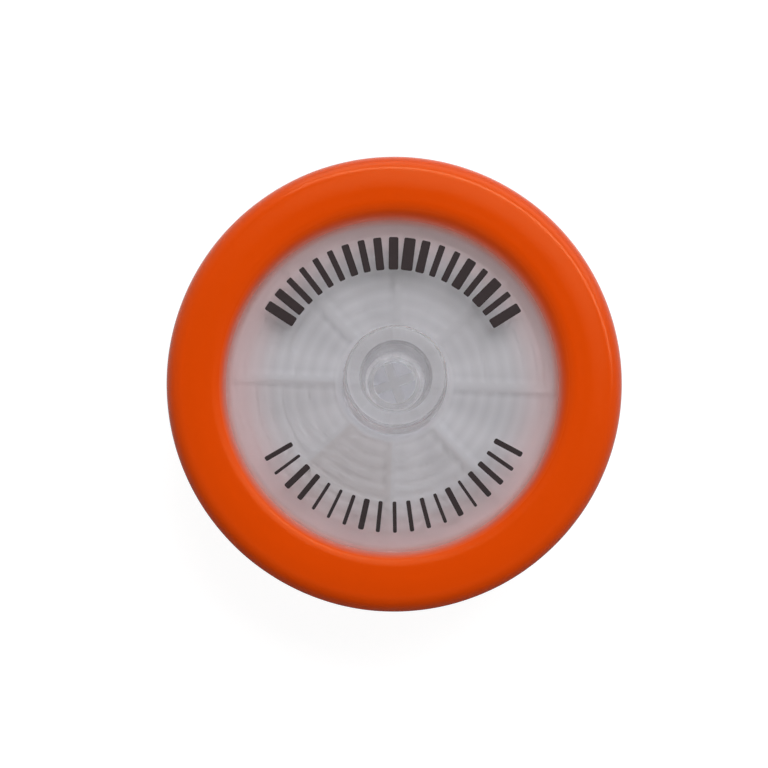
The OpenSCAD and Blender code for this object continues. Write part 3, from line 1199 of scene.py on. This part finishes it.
class FILTER_OT_inlet_half(FilterOperator, Operator):
    """Upper half of the housing with its hub, socket, flow ribs and channels"""

    bl_idname = "syringe_filter.inlet_half"
    bl_label = "Inlet half"

    def execute(self, context):
        looks = self.looks
        flow, hub, level = looks.flow, looks.hub, levels(looks)
        top, inner = level["high"], level["high_in"]
        share = flow.web_rise / looks.shell.disc_thickness
        low_radius = flow.flare_radius - share * (flow.flare_radius - hub.bore_radius)
        ends = [(inner + flow.web_rise, low_radius), (top, hub.bore_radius)]
        cross = cross_mesh("inlet_cross", looks, ends)
        floor = inner + flow.channel_sink
        build_shell("inlet_half", looks, inlet_section(looks), floor, cross, "inlet_shell")
        return {"FINISHED"}


class FILTER_OT_outlet_half(FilterOperator, Operator):
    """Lower half of the housing with its support ribs, drains and nozzle"""

    bl_idname = "syringe_filter.outlet_half"
    bl_label = "Outlet half"

    def execute(self, context):
        looks = self.looks
        flow, nozzle, inner = looks.flow, looks.nozzle, levels(looks)["low_in"]
        flare = flow.flare_radius
        share = flow.web_drop / looks.shell.disc_thickness
        low_radius = flare - share * (flare - nozzle.bore_radius)
        ends = [(inner - flow.web_drop, low_radius), (inner, flare), (MEMBRANE_LOW.z - BOND, flare)]
        cross = cross_mesh("outlet_cross", looks, ends)
        floor = inner - flow.channel_sink
        build_shell("outlet_half", looks, outlet_section(looks), floor, cross, "outlet_shell")
        return {"FINISHED"}


class FILTER_OT_membrane(FilterOperator, Operator):
    """Porous membrane, slightly cockled between the ribs"""

    bl_idname = "syringe_filter.membrane"
    bl_label = "Membrane"

    def execute(self, context):
        looks = self.looks
        film = section_piece("film", membrane_section(looks))
        values = {"Steps": FILM_STEPS, "Material": membrane_film(looks.finish), **FILM_WAVES}
        run_tree(film, turned_tree(), values)
        clean(film)
        place(film, "membrane")
        return {"FINISHED"}


class FILTER_OT_print(FilterOperator, Operator):
    """Two plain rows of printed bars on the inlet disc, in place of words"""

    bl_idname = "syringe_filter.print"
    bl_label = "Print"

    def execute(self, context):
        looks = self.looks
        ink = looks.ink
        tree = printed_row_tree()
        shared = {
            "Corner": ink.corner,
            "Thickness": ink.thickness,
            "Level": levels(looks)["high"] - ink.sunk,
            "Shift": tuple(looks.ring.toe_shift),
            "Material": printing_ink(looks.finish),
        }
        for row, seed in PRINT_SEEDS.items():
            piece = new_piece(row + "_print", bpy.data.meshes.new(row + "_print"))
            sizes = ("Count", "Radius", "Start", "Sweep", "Height", "Narrow", "Wide")
            values = {size: getattr(ink, f"{row}_{size.lower()}") for size in sizes}
            run_tree(piece, tree, {**values, "Seed": seed, **shared})
            clean(piece)
            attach(piece, BODY)
        return {"FINISHED"}


class FILTER_OT_studio(FilterOperator, Operator):
    """Floor, sky, lamps and camera"""

    bl_idname = "syringe_filter.studio"
    bl_label = "Studio"

    def execute(self, context):
        studio, scene = self.looks.studio, context.scene
        scene.view_settings.view_transform = "Standard"
        half = studio.floor_size / 2
        corners = [(-half, -half), (half, -half), (half, half), (-half, half)]
        mesh = bpy.data.meshes.new("studio_floor")
        mesh.from_pydata([(x, y, -BOND / 2) for x, y in corners], [], [(0, 1, 2, 3)])
        mesh.materials.append(studio_floor())
        floor = new_piece("studio_floor", mesh)
        studio_sky(scene)
        area_lamp("top_lamp", TOP_LAMP, studio.top_power).visible_glossy = False
        strip = area_lamp("strip_lamp", STRIP_LAMP, studio.strip_power)
        side = area_lamp("side_lamp", SIDE_LAMP, studio.side_power)
        for glint in (strip, side):
            glint.visible_diffuse = False
            glint.data.color = studio.glint
        scene.camera = studio_camera(studio)
        return {"FINISHED"}


class FILTER_PT_looks(Panel):
    """Settings and operators of the filter's looks"""

    bl_idname = "FILTER_PT_looks"
    bl_label = "Syringe filter"
    bl_space_type = "VIEW_3D"
    bl_region_type = "UI"
    bl_category = "Filter"

    def draw(self, context):
        looks = context.scene.filter_looks
        for group in looks.bl_rna.properties:
            if group.type != "POINTER" or group.identifier == "rna_type":
                continue
            box = self.layout.box()
            box.label(text=group.identifier.title())
            settings = getattr(looks, group.identifier)
            for item in settings.bl_rna.properties:
                if item.identifier not in ("rna_type", "name"):
                    box.prop(settings, item.identifier)
        for operator in OPERATORS:
            self.layout.operator(operator.bl_idname)


OPERATORS = (
    FILTER_OT_grip_ring,
    FILTER_OT_inlet_half,
    FILTER_OT_outlet_half,
    FILTER_OT_membrane,
    FILTER_OT_print,
    FILTER_OT_studio,
)
SETTINGS = (RingSizes, ShellSizes, FlowSizes, HubSizes, NozzleSizes, PrintSizes, Finish, Studio)
CLASSES = (*SETTINGS, FilterLooks, *OPERATORS, FILTER_PT_looks)


def register():
    for cls in CLASSES:
        bpy.utils.register_class(cls)
    bpy.types.Scene.filter_looks = PointerProperty(type=FilterLooks)


def unregister():
    del bpy.types.Scene.filter_looks
    for cls in reversed(CLASSES):
        bpy.utils.unregister_class(cls)


def main():
    register()
    bpy.ops.syringe_filter.grip_ring()
    bpy.ops.syringe_filter.inlet_half()
    bpy.ops.syringe_filter.outlet_half()
    bpy.ops.syringe_filter.membrane()
    bpy.ops.syringe_filter.print()
    bpy.ops.syringe_filter.studio()


if __name__ == "__main__":
    main()
